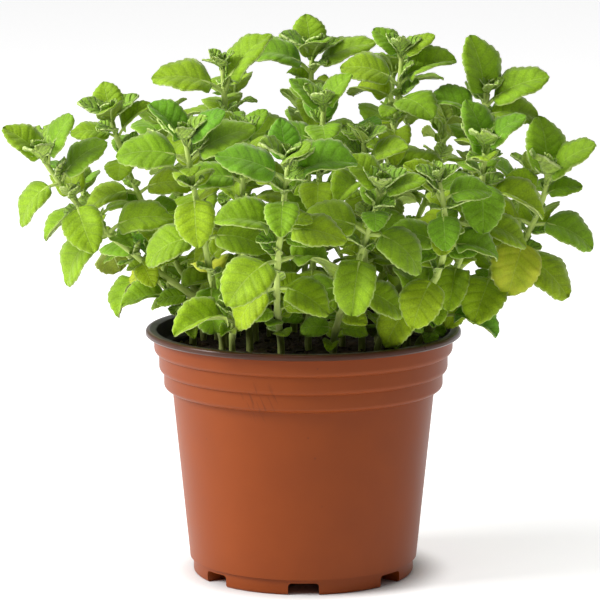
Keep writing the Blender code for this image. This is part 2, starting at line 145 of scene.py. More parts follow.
def turn_on_lathe(name, profile, steps):
    """Draw a ring of edges out along a profile of (radius, height) points, and close both ends."""
    pick()
    radius, height = profile[0]
    bpy.ops.mesh.primitive_circle_add(vertices=steps, radius=radius, location=(0, 0, height))
    item = bpy.context.object
    item.name = name
    bpy.ops.object.transform_apply(location=True, rotation=True, scale=True)
    bpy.ops.object.mode_set(mode="EDIT")
    bpy.ops.mesh.select_all(action="SELECT")
    for (radius, height), (next_radius, next_height) in zip(profile, profile[1:]):
        bpy.ops.mesh.extrude_region_move(TRANSFORM_OT_translate={"value": (0, 0, next_height - height)})
        share = next_radius / radius
        bpy.ops.transform.resize(value=(share, share, 1), center_override=(0, 0, next_height))
    for end in (None, profile[0]):
        if end:
            bpy.ops.mesh.select_all(action="DESELECT")
            bpy.ops.object.mode_set(mode="OBJECT")
            for vert in item.data.vertices:
                vert.select = (abs(vert.co.z - end[1]) < SAME_PLACE
                               and abs(vert.co.xy.length - end[0]) < SAME_PLACE)
            bpy.ops.object.mode_set(mode="EDIT")
        bpy.ops.mesh.extrude_region_move(TRANSFORM_OT_translate={"value": (0, 0, 0)})
        bpy.ops.mesh.merge(type="CENTER")
    bpy.ops.mesh.select_all(action="SELECT")
    bpy.ops.mesh.normals_make_consistent(inside=False)
    bpy.ops.object.mode_set(mode="OBJECT")
    return item


def join_into(item, *others):
    """Join other objects into an item."""
    pick(item, *others)
    bpy.ops.object.join()


def cut_away(item, cutters):
    """Join the cutters, take them out of the item with one exact Boolean, and throw them away."""
    join_into(*cutters)
    step = item.modifiers.new("cut", "BOOLEAN")
    step.operation = "DIFFERENCE"
    step.solver = "EXACT"
    step.object = cutters[0]
    pick(item)
    bpy.ops.object.modifier_apply(modifier="cut")
    bpy.data.objects.remove(cutters[0], do_unlink=True)


def copy_of(model):
    """A copy of a model, with its own mesh."""
    copy = model.copy()
    copy.data = model.data.copy()
    bpy.context.collection.objects.link(copy)
    return copy


def smooth_by_angle(item, degrees):
    pick(item)
    bpy.ops.object.shade_smooth_by_angle(angle=radians(degrees))


outside = wall_outside(range(0, 91, 15))
foot_radius = outside[-1][0] - FOOT_STEP
foot_inside = foot_radius - FOOT_WIDTH
mouth = RIM_RADIUS - RIM_OVERHANG - WALL
lip_bottom = POT_HEIGHT - RIM_DEPTH
pot_profile = [(POT_CENTRE, FOOT_HEIGHT - FLOOR), (foot_inside, FOOT_HEIGHT - FLOOR)]
pot_profile += [(foot_inside, FOOT_EASE), (foot_inside + FOOT_EASE, 0)]
pot_profile += [(foot_radius - FOOT_ROUND * (1 - sin(radians(a))), FOOT_ROUND * (1 - cos(radians(a))))
                for a in (0, 30, 60, 90)]
pot_profile += [(foot_radius, FOOT_HEIGHT)] + outside[::-1]
pot_profile += [(RIM_RADIUS - LIP_UNDERCUT, lip_bottom), (RIM_RADIUS, lip_bottom + LIP_CHAMFER)]
pot_profile += quarter(RIM_RADIUS, POT_HEIGHT - LIP_ROUND, -LIP_ROUND, LIP_ROUND)
pot_profile += [(RIM_RADIUS - LIP_SKIN, POT_HEIGHT - LIP_DIP)]
pot_profile += [(mouth + past * MM, POT_HEIGHT - down * MM) for past, down in MOUTH_EASE]
pot_profile += wall_inside()[::-1]
wall_foot = pot_profile[-1][0]
pot_profile += [(wall_foot - away * MM, FOOT_HEIGHT + over * MM) for away, over in FLOOR_EASE]
pot_profile += [(POT_CENTRE, FOOT_HEIGHT)]
nursery_pot = turn_on_lathe("nursery_pot", pot_profile, POT_STEPS)

# One cutter for a notch, with its upper edges rounded, and one for a drain hole, are copied round.
pick()
bpy.ops.mesh.primitive_cube_add(size=1)
notch = bpy.context.object
notch.scale = (FOOT_WIDTH + 2 * NOTCH_SPARE, NOTCH_WIDTH, 2 * NOTCH_HEIGHT)
bpy.ops.object.transform_apply(location=False, rotation=False, scale=True)
bpy.ops.object.mode_set(mode="EDIT")
bpy.ops.mesh.select_mode(type="EDGE")
bpy.ops.object.mode_set(mode="OBJECT")
for edge in notch.data.edges:
    ends = [notch.data.vertices[n].co for n in edge.vertices]
    edge.select = all(end.z > 0 for end in ends) and abs(ends[0].y - ends[1].y) < MM
bpy.ops.object.mode_set(mode="EDIT")
bpy.ops.mesh.bevel(offset=NOTCH_ROUND, segments=5, affect="EDGES")
bpy.ops.mesh.select_mode(type="VERT")
bpy.ops.object.mode_set(mode="OBJECT")
pick()
bpy.ops.mesh.primitive_cylinder_add(vertices=32, radius=DRAIN_RADIUS, depth=4 * FLOOR)
drain = bpy.context.object

pot_cutters = []
for number in range(NOTCH_COUNT):
    angle = 2 * pi * number / NOTCH_COUNT - pi / 2
    way = Vector((cos(angle), sin(angle), 0))
    foot_middle = Matrix.Translation(way * (foot_radius - FOOT_WIDTH / 2))
    foot_middle @= Matrix.Rotation(angle, 4, "Z")
    drain_middle = Matrix.Translation(way * DRAIN_RING + Vector((0, 0, FOOT_HEIGHT)))
    for model, place in ((notch, foot_middle), (drain, drain_middle)):
        cutter = copy_of(model)
        cutter.data.transform(place)
        pot_cutters.append(cutter)
for model in (notch, drain):
    bpy.data.objects.remove(model, do_unlink=True)
cut_away(nursery_pot, pot_cutters)
smooth_by_angle(nursery_pot, 32)


def paint(hex_colour):
    """Linear colour of an sRGB hex value."""
    channels = [int(hex_colour[n:n + 2], 16) / 255 for n in (1, 3, 5)]
    return [c / 12.92 if c <= 0.04045 else ((c + 0.055) / 1.055) ** 2.4 for c in channels] + [1]


def set_socket(socket, value):
    """Give a socket its value, which may be a hex colour."""
    socket.default_value = paint(value) if isinstance(value, str) else value


def add_node(material, kind, inputs, **settings):
    """Add a shader node and set it. Each input gets a value, a hex colour, or a link: from a socket, or
    from another node's first output."""
    tree = material.node_tree
    node = tree.nodes.new("ShaderNode" + kind)
    for name, value in settings.items():
        setattr(node, name, value)
    for name, value in inputs.items():
        if isinstance(value, bpy.types.Node):
            value = value.outputs[0]
        if isinstance(value, bpy.types.NodeSocket):
            tree.links.new(value, node.inputs[name])
        else:
            set_socket(node.inputs[name], value)
    return node


def new_material(name, **sockets):
    """A material with its Principled shader's own sockets set; underscores stand for spaces."""
    material = bpy.data.materials.new(name)
    material.use_nodes = True
    shader = material.node_tree.nodes["Principled BSDF"]
    for socket, value in sockets.items():
        set_socket(shader.inputs[socket.replace("_", " ")], value)
    return material, shader


def finish_material(material, shader, colour, roughness=None, normal=None):
    """Link the last node of each of a material's patterns to its shader."""
    for socket, node in (("Base Color", colour), ("Roughness", roughness), ("Normal", normal)):
        if node:
            material.node_tree.links.new(node.outputs[0], shader.inputs[socket])


# Terracotta polypropylene: moulded, so it is even, with a soft sheen, faint flow clouds, a few dark
# specks of burnt pellet, and rubbed marks on the second band at the front left, from stacking.
CLOUD_SIZE = 22 * MM
SPECK_SPACING = 13 * MM
GRAIN_SIZE = 0.9 * MM
SCRATCH_WIDTH = 1.1 * MM
SCRATCH_SLANT = radians(-24)
SCRATCH_REACH = 11 * MM
SCRATCH_PLACE = (-0.0165, -0.0545, 0.0805)
terracotta, shader = new_material("terracotta_polypropylene", IOR=1.49, Specular_IOR_Level=0.2)
place = add_node(terracotta, "TexCoord", {}).outputs["Object"]
clouds = add_node(terracotta, "TexNoise", {"Vector": place, "Scale": 1 / CLOUD_SIZE, "Detail": 3})
base = add_node(terracotta, "MixRGB", {"Fac": clouds, "Color1": "#7E370B", "Color2": "#8C400F"})
specks = add_node(terracotta, "TexVoronoi", {"Vector": place, "Scale": 1 / SPECK_SPACING})
speck = add_node(terracotta, "MapRange", {"Value": specks.outputs["Distance"], "From Min": 0.03,
                                          "From Max": 0.05, "To Min": 0.55, "To Max": 0})
base = add_node(terracotta, "MixRGB", {"Fac": speck, "Color1": base, "Color2": "#6B3018"})
slant = add_node(terracotta, "Mapping", {"Vector": place, "Rotation": (0, SCRATCH_SLANT, 0),
                                         "Scale": (1, 5, 8)}, vector_type="TEXTURE")
strokes = add_node(terracotta, "TexNoise", {"Vector": slant, "Scale": 1 / SCRATCH_WIDTH, "Detail": 1})
stroke = add_node(terracotta, "MapRange", {"Value": strokes, "From Min": 0.56, "From Max": 0.66})
away = add_node(terracotta, "VectorMath", {0: place, 1: SCRATCH_PLACE}, operation="DISTANCE")
near = add_node(terracotta, "MapRange", {"Value": away.outputs["Value"], "From Min": 0.45 * SCRATCH_REACH,
                                         "From Max": SCRATCH_REACH, "To Min": 0.5, "To Max": 0})
rubbed = add_node(terracotta, "Math", {0: stroke, 1: near}, operation="MULTIPLY")
base = add_node(terracotta, "MixRGB", {"Fac": rubbed, "Color1": base, "Color2": "#56240D"})
sheen = add_node(terracotta, "MapRange", {"Value": clouds, "To Min": 0.36, "To Max": 0.46})
grain = add_node(terracotta, "TexNoise", {"Vector": place, "Scale": 1 / GRAIN_SIZE, "Detail": 2})
rise = add_node(terracotta, "Math", {0: grain, 1: rubbed}, operation="ADD")
bump = add_node(terracotta, "Bump", {"Height": rise, "Strength": 0.12, "Distance": 0.1 * MM})
finish_material(terracotta, shader, base, sheen, bump)

# Black polypropylene: the same plastic inside, dulled by water marks and dried soil.
MARK_SIZE = 6 * MM
black, shader = new_material("black_polypropylene", IOR=1.49)
place = add_node(black, "TexCoord", {}).outputs["Object"]
marks = add_node(black, "TexNoise", {"Vector": place, "Scale": 1 / MARK_SIZE, "Detail": 5})
mark = add_node(black, "MapRange", {"Value": marks, "From Min": 0.52, "From Max": 0.72, "To Max": 0.35})
base = add_node(black, "MixRGB", {"Fac": mark, "Color1": "#1D1815", "Color2": "#463830"})
dull = add_node(black, "MapRange", {"Value": marks, "To Min": 0.3, "To Max": 0.6})
finish_material(black, shader, base, dull)

# Lip: the terracotta skin thins out over the black here, so the plastic looks dark brown and shinier.
THIN_SKIN_SIZE = 9 * MM
lip, shader = new_material("lip_polypropylene", IOR=1.49, Specular_IOR_Level=0.3)
place = add_node(lip, "TexCoord", {}).outputs["Object"]
thin = add_node(lip, "TexNoise", {"Vector": place, "Scale": 1 / THIN_SKIN_SIZE, "Detail": 3})
base = add_node(lip, "MixRGB", {"Fac": thin, "Color1": "#351C11", "Color2": "#532E1C"})
dull = add_node(lip, "MapRange", {"Value": thin, "To Min": 0.24, "To Max": 0.36})
finish_material(lip, shader, base, dull)

for material in (terracotta, black, lip):
    nursery_pot.data.materials.append(material)
for face in nursery_pot.data.polygons:
    radius = face.center.xy.length
    faces_in = face.center.xy.dot(face.normal.xy) < 0
    if face.center.z > lip_bottom - SKIN_EDGE and radius > RIM_RADIUS - LIP_SKIN:
        face.material_index = 2
    elif face.center.z > FOOT_HEIGHT - SKIN_EDGE and (faces_in or radius < foot_inside):
        face.material_index = 1
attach(nursery_pot, "root")
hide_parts("pot")

# ---------------------------------------------------------------------------------------------------
# Potting soil. Damp dark peat with bark crumbs, pressed in lightly by hand: a closed root ball that
# fills the pot to 11 mm under the lip, with its crumbs lying on and half in its surface.

HEADSPACE = 11 * MM
MOUND = 2.5 * MM
FIT_GAP = 0.3 * MM
SOIL_STEPS = 168
SOIL_RINGS = 44
SOIL_CENTRE = 1 * MM
CLOD_SIZE = 5 * MM
CLOD_RISE = 1.1 * MM
CRUMB_COUNT = 620
CRUMB_SIZE = (0.5 * MM, 1.7 * MM)
EVERY_LARGE_CRUMB = 9
LARGE_CRUMB = 1.5
PEAT_GRAIN = 0.7 * MM
BARK_SPACING = 3.2 * MM


def soil_height(radius):
    """Height of the soil surface, highest in the middle."""
    edge = POT_HEIGHT - HEADSPACE
    return edge + MOUND * cos(min(1, radius / RIM_RADIUS) * pi / 2)


edge_height = POT_HEIGHT - HEADSPACE
side = [(radius - FIT_GAP, height + FIT_GAP) for radius, height in wall_inside()
        if height < edge_height - MM]
soil_edge = side[-1][0]
soil_profile = [(SOIL_CENTRE, FOOT_HEIGHT + FIT_GAP), (side[0][0] - 3 * MM, FOOT_HEIGHT + FIT_GAP)]
soil_profile += [(radius, max(height, FOOT_HEIGHT + 1.5 * MM)) for radius, height in side]
soil_profile += [(soil_edge * (1 - (1 - SOIL_CENTRE / soil_edge) * n / SOIL_RINGS), edge_height)
                 for n in range(1, SOIL_RINGS + 1)]
root_ball = turn_on_lathe("root_ball", soil_profile, SOIL_STEPS)
for vert in root_ball.data.vertices:
    radius = vert.co.xy.length
    if vert.co.z > edge_height - 0.01 * MM:
        inside = min(1, max(0, (soil_edge - radius) / (2 * MM)))
        clod = noise.fractal(vert.co / CLOD_SIZE, 0.6, 2.1, 5)
        vert.co.z = soil_height(radius) + clod * CLOD_RISE * inside
soil_tree = BVHTree.FromObject(root_ball, bpy.context.evaluated_depsgraph_get())

pick()
bpy.ops.mesh.primitive_ico_sphere_add(subdivisions=1, radius=1)
crumb_model = bpy.context.object
chance = Random(5)
crumbs = []
for number in range(CRUMB_COUNT):
    radius = (soil_edge - 2 * MM) * chance.random() ** 0.5
    turn = chance.uniform(0, 2 * pi)
    above = Vector((radius * cos(turn), radius * sin(turn), 2 * POT_HEIGHT))
    top = soil_tree.ray_cast(above, Vector((0, 0, -1)))[0]
    size = chance.uniform(*CRUMB_SIZE) * (LARGE_CRUMB if number % EVERY_LARGE_CRUMB == 0 else 1)
    crumb = copy_of(crumb_model)
    for vert in crumb.data.vertices:
        vert.co *= chance.uniform(0.65, 1.15)
    shape = Matrix.Diagonal((size, size * chance.uniform(0.5, 1), size * chance.uniform(0.35, 0.8), 1))
    spin = Matrix.Rotation(chance.uniform(0, pi), 4, "Z")
    tilt = Matrix.Rotation(chance.uniform(-0.5, 0.5), 4, "X")
    crumb.data.transform(Matrix.Translation(top + Vector((0, 0, 0.2 * size))) @ spin @ tilt @ shape)
    crumbs.append(crumb)
bpy.data.objects.remove(crumb_model, do_unlink=True)
join_into(root_ball, *crumbs)
smooth_by_angle(root_ball, 40)

# Peat: fibrous and damp, so very dark and matt, with browner bark crumbs and a few dull glints.
peat, shader = new_material("peat_potting_soil", Specular_IOR_Level=0.3)
place = add_node(peat, "TexCoord", {}).outputs["Object"]
grain = add_node(peat, "TexNoise", {"Vector": place, "Scale": 1 / PEAT_GRAIN, "Detail": 6})
base = add_node(peat, "MixRGB", {"Fac": grain, "Color1": "#17100B", "Color2": "#3A2A1D"})
bark = add_node(peat, "TexVoronoi", {"Vector": place, "Scale": 1 / BARK_SPACING})
patch = add_node(peat, "MapRange", {"Value": bark.outputs["Color"], "From Min": 0.62, "From Max": 0.8,
                                    "To Max": 0.55})
base = add_node(peat, "MixRGB", {"Fac": patch, "Color1": base, "Color2": "#54402C"})
damp = add_node(peat, "MapRange", {"Value": grain, "To Min": 0.72, "To Max": 1})
bump = add_node(peat, "Bump", {"Height": grain, "Strength": 0.8, "Distance": 0.5 * MM})
finish_material(peat, shader, base, damp, bump)
root_ball.data.materials.append(peat)
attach(root_ball, "root")
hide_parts("potting_soil")

# ---------------------------------------------------------------------------------------------------
# How the shoots grow. Each one is rooted in the soil, leans out past a bend and rises to its tip, with
# leaves in opposite pairs, each pair a quarter turn from the next. The leaves are settled one by one,
# from the tips down, so that each finds room among the others and turns its face to the light.

ROOT_DEPTH = 12 * MM
STRAIGHT_STEM = 2 * MM
STEM_RADIUS = 1.5 * MM
STEM_TAPER = 0.6
STEM_POINTS = 8
BARE_STEM_ROUNDING = 1
LEAF_THICKNESS = 0.9 * MM
LEAF_WIDTH = 0.84
PETIOLE = 0.28
PETIOLE_WIDTH = 1.3 * MM
LEAF_REACH = 34
LEAF_CURL = 38
LEAF_SPARE = 0.5 * MM
LEAF_START = 0.25 * MM
LOWEST_NODE = 5 * MM
FACE_LIGHT = 1.1
WINDOW = (-0.18, -1.08, 0.6)
WINDOW_REACH = 90 * MM
LEAF_SIZES = (1, 0.9, 0.8, 0.7, 0.6)
SMALLEST_LEAF = 12.2 * MM

Shoot = namedtuple("Shoot", "name root bend tip pairs")
Pair = namedtuple("Pair", "down turn length lift far_lift")
Leaf = namedtuple("Leaf", "origin axis light turn lift length")


def usual_pairs(turn, length, count):
    """Leaf pairs of a plain upright shoot, each turned a quarter from the one above."""
    downs = (2, 9, 19, 34, 52, 72, 92)
    lengths = (0.62, 0.92, 1.0, 1.0, 0.95, 0.9, 0.8)
    lifts = (50, 22, -8, -26, -36, -40, -36)
    return [Pair(downs[n], turn + 90 * n, length * lengths[n], lifts[n], lifts[n] - 6) for n in range(count)]


# Millimetres and degrees. A root is an X, Y place in the soil, and a shoot curves past its bend to its
# tip, whose heights are over the rim. A pair sits some way down from the tip. Its first leaf points
# along turn, where 0 is +X and 90 is +Y, at a lift over the level, and its second the other way.
SHOOTS = [
    Shoot("shoot_outer_left", (-32, 2), (-79, -4, 26), (-104.5, -15, 70.5), [
        Pair(2, 175, 19, 58, 44), Pair(11, 0, 21, 22, -38), Pair(22, 270, 21, -66, 10),
        Pair(40, 180, 24, -38, -15), Pair(58, 275, 12.5, -60, -20)]),
    Shoot("shoot_upper_left", (-36, 22), (-62, 16, 23), (-79, 10, 85), [
        Pair(2, 100, 15, 62, 25), Pair(8, 185, 16, 8, 28), Pair(18, 80, 15, 20, -30),
        Pair(33, 180, 20, -15, -10), Pair(50, 95, 19, -20, -50), Pair(68, 0, 18, -25, -30)]),
    Shoot("shoot_upper_left_centre", (-20, 12), (-30, 4, 48), (-33, 0, 107), [
        Pair(2, 150, 11, 40, 35), Pair(10, 0, 25, 50, 8), Pair(21, 275, 20, -20, 10),
        Pair(32, 5, 25, -5, -10), Pair(50, 95, 22, -15, -45), Pair(72, 0, 20, -30, -30)]),
    Shoot("shoot_top_centre", (0, 30), (2, 27, 48), (3.5, 25, 109), [
        Pair(2, 110, 17, 68, 30), Pair(6, 0, 24, 40, 12), Pair(20, 95, 18, 10, -25),
        Pair(34, 180, 22, -5, 0), Pair(52, 90, 21, -15, -40), Pair(72, 0, 20, -25, -25)]),
    Shoot("shoot_front_left", (-33, -16), (-36, -48, 20), (-46, -58, 83), [
        Pair(2, 165, 18, 52, 35), Pair(8, 0, 24, 18, 4), Pair(22, 270, 20, -68, 0),
        Pair(42, 180, 22, -25, -20), Pair(62, 270, 20, -55, -20)]),
    Shoot("shoot_front_centre", (-9, -28), (-14, -76, 14), (-6, -80, 77), [
        Pair(2, 120, 16, 66, 35), Pair(7, 0, 24, 18, 12), Pair(14, 270, 17, -48, 5),
        Pair(28, 182, 22, 6, -18), Pair(41, 215, 24, -42, -30), Pair(56, 190, 20, -58, -40)]),
    Shoot("shoot_centre_right", (12, -27), (16, -62, 16), (30, -68, 65), [
        Pair(2, 170, 16, 45, 25), Pair(9, 275, 13, -20, 30), Pair(18, 350, 23, -32, -5),
        Pair(27, 270, 23, -70, -5), Pair(46, 0, 20, -30, -35)]),
    Shoot("shoot_right_centre", (30, -22), (66, -56, 14), (53, -60, 68), [
        Pair(2, 95, 11, 60, 35), Pair(8, 190, 17, 45, 0), Pair(13, 270, 15, -62, 10),
        Pair(28, 0, 20, -5, 0), Pair(42, 250, 21, -58, -20), Pair(58, 270, 20, -70, -20)]),
    Shoot("shoot_upper_right_centre", (16, 3), (35, -2, 38), (40, 0, 112), [
        Pair(2, 170, 14, 45, 38), Pair(7, 275, 12, -5, 60), Pair(12, 0, 21, 24, 12),
        Pair(19, 320, 20, -15, 0), Pair(30, 275, 20, -45, -10), Pair(48, 0, 21, -20, -20),
        Pair(68, 270, 20, -40, -30)]),
    Shoot("shoot_upper_centre", (2, -6), (5, -24, 38), (8, -28, 93), [
        Pair(2, 0, 16, 58, 45), Pair(8, 95, 17, 40, -15), Pair(15, 345, 19, -12, 5),
        Pair(30, 270, 18, -35, 0), Pair(50, 0, 20, -20, -20), Pair(68, 90, 18, -25, -40)]),
    Shoot("shoot_top_right", (31, 14), (62, 4, 33), (75, -5, 97), [
        Pair(2, 200, 11, 55, 45), Pair(6, 170, 24, 72, 30), Pair(11, 0, 20, 4, 10),
        Pair(24, 95, 20, 5, -25), Pair(42, 0, 20, -20, -15), Pair(62, 90, 19, -25, -40)]),
    Shoot("shoot_front_right", (42, -8), (68, -36, 16), (72, -42, 78), [
        Pair(2, 165, 19, 70, 52), Pair(6, 275, 14, 15, 45), Pair(12, 270, 21, -66, -5),
        Pair(17, 350, 23, -18, 10), Pair(32, 180, 20, -25, -20), Pair(50, 270, 19, -55, -20)]),
    Shoot("shoot_outer_right", (43, 8), (88, -6, 7), (99, -12, 62), [
        Pair(2, 150, 23, 76, 50), Pair(7, 0, 14, 22, 15), Pair(14, 0, 12, -25, 5),
        Pair(19, 0, 22.5, -20, -20), Pair(25, 270, 24, -74, 0), Pair(34, 350, 24, -30, -10),
        Pair(48, 270, 23, -66, -15), Pair(66, 90, 14, 10, -40)]),
    Shoot("shoot_low_right", (47, -8), (53, -11, 1), (58, -13, 9), [
        Pair(2, 0, 20, -12, 40), Pair(10, 90, 14, 0, 20)]),
    Shoot("shoot_low_left", (-46, 14), (-56, 10, 10), (-58, 6, 26), [
        Pair(2, 150, 15, 40, 30), Pair(16, 180, 18, -8, 0)]),
    Shoot("shoot_low_front", (-28, -42), (-30, -46, 2), (-26, -49, 16), [
        Pair(2, 300, 12, 50, 40), Pair(6, 207, 23, -12, -10)]),
    Shoot("shoot_inner_left", (-22, -7), (-26, -20, 28), (-24, -24, 82), usual_pairs(20, 20, 5)),
    Shoot("shoot_inner_right", (24, -6), (26, -26, 28), (24, -30, 80), usual_pairs(60, 20, 5)),
    Shoot("shoot_rear_inner_left", (-14, 28), (-24, 46, 38), (-30, 50, 98), usual_pairs(10, 22, 6)),
    Shoot("shoot_rear_inner_right", (16, 26), (32, 44, 38), (38, 48, 100), usual_pairs(70, 22, 6)),
    Shoot("shoot_back_left", (-28, 38), (-52, 64, 20), (-60, 70, 76), usual_pairs(30, 23, 6)),
    Shoot("shoot_back_centre", (-4, 44), (-6, 66, 20), (2, 71, 80), usual_pairs(0, 23, 6)),
    Shoot("shoot_back_right", (22, 40), (52, 62, 20), (62, 68, 78), usual_pairs(45, 23, 6)),
    Shoot("shoot_far_left", (-42, 27), (-80, 38, 16), (-96, 46, 56), usual_pairs(15, 21, 5)),
    Shoot("shoot_far_right", (40, 27), (78, 38, 16), (96, 42, 58), usual_pairs(80, 21, 5)),
]


def bush_place(x, y, over_rim):
    """A place given in millimetres in plan and over the rim."""
    return Vector((x * MM, y * MM, POT_HEIGHT + over_rim * MM))


def root_end(shoot):
    place = bush_place(*shoot.root, 0)
    place.z = soil_height(0) - ROOT_DEPTH
    return place


def stem_line(shoot, count):
    """Points along a shoot's centre line: straight out of the soil, then a curve past the bend."""
    bottom = root_end(shoot)
    start = bottom + Vector((0, 0, ROOT_DEPTH + STRAIGHT_STEM))
    bend = bush_place(*shoot.bend)
    tip = bush_place(*shoot.tip)
    rise = start + Vector((0, 0, 0.35 * (bend - start).length))
    points = [bottom]
    for step in range(count):
        t = step / (count - 1)
        s = 1 - t
        points.append(s**3 * start + 3 * s * s * t * rise + 3 * s * t * t * bend + t**3 * tip)
    return points


def node_on_stem(shoot, down):
    """The place some way down from a shoot's tip, and the direction in which the stem grows there."""
    points = stem_line(shoot, STEM_POINTS)
    left = down
    for upper, lower in zip(reversed(points), reversed(points[:-1])):
        step = (upper - lower).length
        if left <= step:
            return upper.lerp(lower, left / step), (upper - lower).normalized()
        left -= step
    return None


def light_way(place):
    """The way to the light: up and out of the bush, and to the window for the front of the bush."""
    outward = Vector((place.x, place.y, 0)).normalized() + Vector((0, 0, 0.6))
    share = max(0, min(1, 1 - place.y / WINDOW_REACH))
    return (outward.normalized() * (1 - share) + Vector(WINDOW) * share).normalized()


def leaf_matrix(leaf):
    """Frame of a leaf: X along it, Z out of its upper face."""
    turn = radians(leaf.turn)
    level = Vector((cos(turn), sin(turn), 0))
    level = (level - leaf.axis * level.dot(leaf.axis)).normalized()
    lift = radians(leaf.lift)
    along = cos(lift) * level + sin(lift) * leaf.axis
    face = cos(lift) * leaf.axis - sin(lift) * level
    face += FACE_LIGHT * leaf.light
    across = face.cross(along).normalized()
    face = along.cross(across)
    start = leaf.origin + along * LEAF_START
    return Matrix.Translation(start) @ Matrix((along, across, face)).transposed().to_4x4()


def leaf_slope(leaf, share):
    """How steeply a leaf's line rises over its own X axis, part of the way from stem to tip."""
    reach = LEAF_REACH * (1 - leaf.lift / 90)
    return radians(reach * (1 - share) ** 2 - LEAF_CURL * (share - 0.4))


# Outline of the room that a blade needs, as (share of its length, share of its half width).
ROOM_FOR_BLADE = ((0, 0.4), (0.2, 0.95), (0.42, 1), (0.7, 0.85), (1, 0.3))


def leaf_room(leaf):
    """A closed block a little larger than the leaf, for finding whether it has room."""
    place = leaf_matrix(leaf)
    thick = LEAF_THICKNESS / 2 + LEAF_SPARE
    stalk = PETIOLE * leaf.length
    stations = [(0, PETIOLE_WIDTH / 2)]
    for share, width in ROOM_FOR_BLADE:
        half = max(PETIOLE_WIDTH / 2, width * LEAF_WIDTH * leaf.length / 2)
        stations.append((stalk + share * leaf.length, half))
    along = height = before = 0.0
    corners = []
    for distance, half in stations:
        slope = leaf_slope(leaf, (distance + before) / 2 / (stalk + leaf.length))
        along += cos(slope) * (distance - before)
        height += sin(slope) * (distance - before)
        before = distance
        edge = half + LEAF_SPARE
        ring = ((edge, thick), (edge, -thick), (-edge, -thick), (-edge, thick))
        corners += [place @ Vector((along, y, height + z)) for y, z in ring]
    last = len(corners) - 4
    faces = [(0, 1, 2, 3), (last, last + 3, last + 2, last + 1)]
    for ring in range(0, last, 4):
        faces += [(ring + n, ring + (n + 1) % 4, ring + 4 + (n + 1) % 4, ring + 4 + n) for n in range(4)]
    middle = sum(corners, Vector()) / len(corners)
    reach = max((corner - middle).length for corner in corners)
    return BVHTree.FromPolygons(corners, faces), middle, reach


# Ways to turn and lift a leaf that has no room, in degrees, the slightest first.
NUDGES = ((0, 0), (9, 0), (-9, 0), (0, 9), (0, -9), (14, 10), (-14, 10), (14, -12), (-14, -12),
          (22, 0), (-22, 0), (0, 20), (0, -20), (30, 14), (-30, 14), (30, -18), (-30, -18),
          (40, 0), (-40, 0), (0, 32), (0, -32))


def leaf_tries(leaf, sizes):
    """The leaf as it would like to grow, then turned, lifted and made smaller step by step."""
    for size in sizes:
        for turn, lift in NUDGES:
            yield leaf._replace(turn=leaf.turn + turn, lift=leaf.lift + lift, length=leaf.length * size)


def draw_tube(name, points, radii, radius, resolution):
    """A round tube along points, drawn as a curve and turned into a mesh."""
    curve = bpy.data.curves.new(name, "CURVE")
    curve.dimensions = "3D"
    curve.bevel_depth = radius
    curve.bevel_resolution = resolution
    curve.use_fill_caps = True
    spline = curve.splines.new("POLY")
    spline.points.add(len(points) - 1)
    for number, point in enumerate(points):
        spline.points[number].co = (*point, 1)
        spline.points[number].radius = radii[number]
    tube = bpy.data.objects.new(name, curve)
    bpy.context.collection.objects.link(tube)
    pick(tube)
    bpy.ops.object.convert(target="MESH")
    tube = bpy.context.object
    bpy.ops.object.mode_set(mode="EDIT")
    bpy.ops.mesh.select_all(action="SELECT")
    bpy.ops.mesh.remove_doubles(threshold=0.00002)
    bpy.ops.mesh.normals_make_consistent(inside=False)
    bpy.ops.object.mode_set(mode="OBJECT")
    return tube


def mesh_tree(item):
    mesh = item.data
    return BVHTree.FromPolygons([v.co for v in mesh.vertices], [tuple(p.vertices) for p in mesh.polygons])


bodies = {name: mesh_tree(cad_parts[name]) for name in ("pot", "potting_soil")}
for shoot in SHOOTS:
    line = stem_line(shoot, STEM_POINTS)
    radii = [1 - (1 - STEM_TAPER) * n / (len(line) - 1) for n in range(len(line))]
    bare = draw_tube(shoot.name, line, radii, STEM_RADIUS, BARE_STEM_ROUNDING)
    bodies[shoot.name] = mesh_tree(bare)
    bpy.data.objects.remove(bare, do_unlink=True)

taken = []


def settle(leaf, owner, sizes, smallest, beside=None):
    """The first way of growing a leaf that touches no other shoot and no leaf of another node."""
    for tried in leaf_tries(leaf, sizes):
        if tried.length < smallest:
            continue
        tree, middle, reach = leaf_room(tried)
        if any(name != owner[0] and tree.overlap(body) for name, body in bodies.items()):
            continue
        near = [other for other, centre, size, node in taken
                if (centre - middle).length < size + reach and node not in (owner, beside)]
        if any(tree.overlap(other) for other in near):
            continue
        taken.append((tree, middle, reach, owner))
        return tried
    return None


grown = {shoot.name: [] for shoot in SHOOTS}
for rank in range(max(len(shoot.pairs) for shoot in SHOOTS)):
    for shoot in SHOOTS:
        if rank >= len(shoot.pairs):
            continue
        pair = shoot.pairs[rank]
        place = node_on_stem(shoot, pair.down * MM)
        if place is None or place[0].z < soil_height(0) + LOWEST_NODE:
            continue
        axis = (place[1] + Vector((0, 0, 1))).normalized()
        for turn, lift in ((pair.turn, pair.lift), (pair.turn + 180, pair.far_lift)):
            wish = Leaf(place[0], axis, light_way(place[0]), turn, lift, pair.length * MM)
            leaf = settle(wish, (shoot.name, rank), LEAF_SIZES, SMALLEST_LEAF)
            if leaf:
                grown[shoot.name].append((leaf, rank))

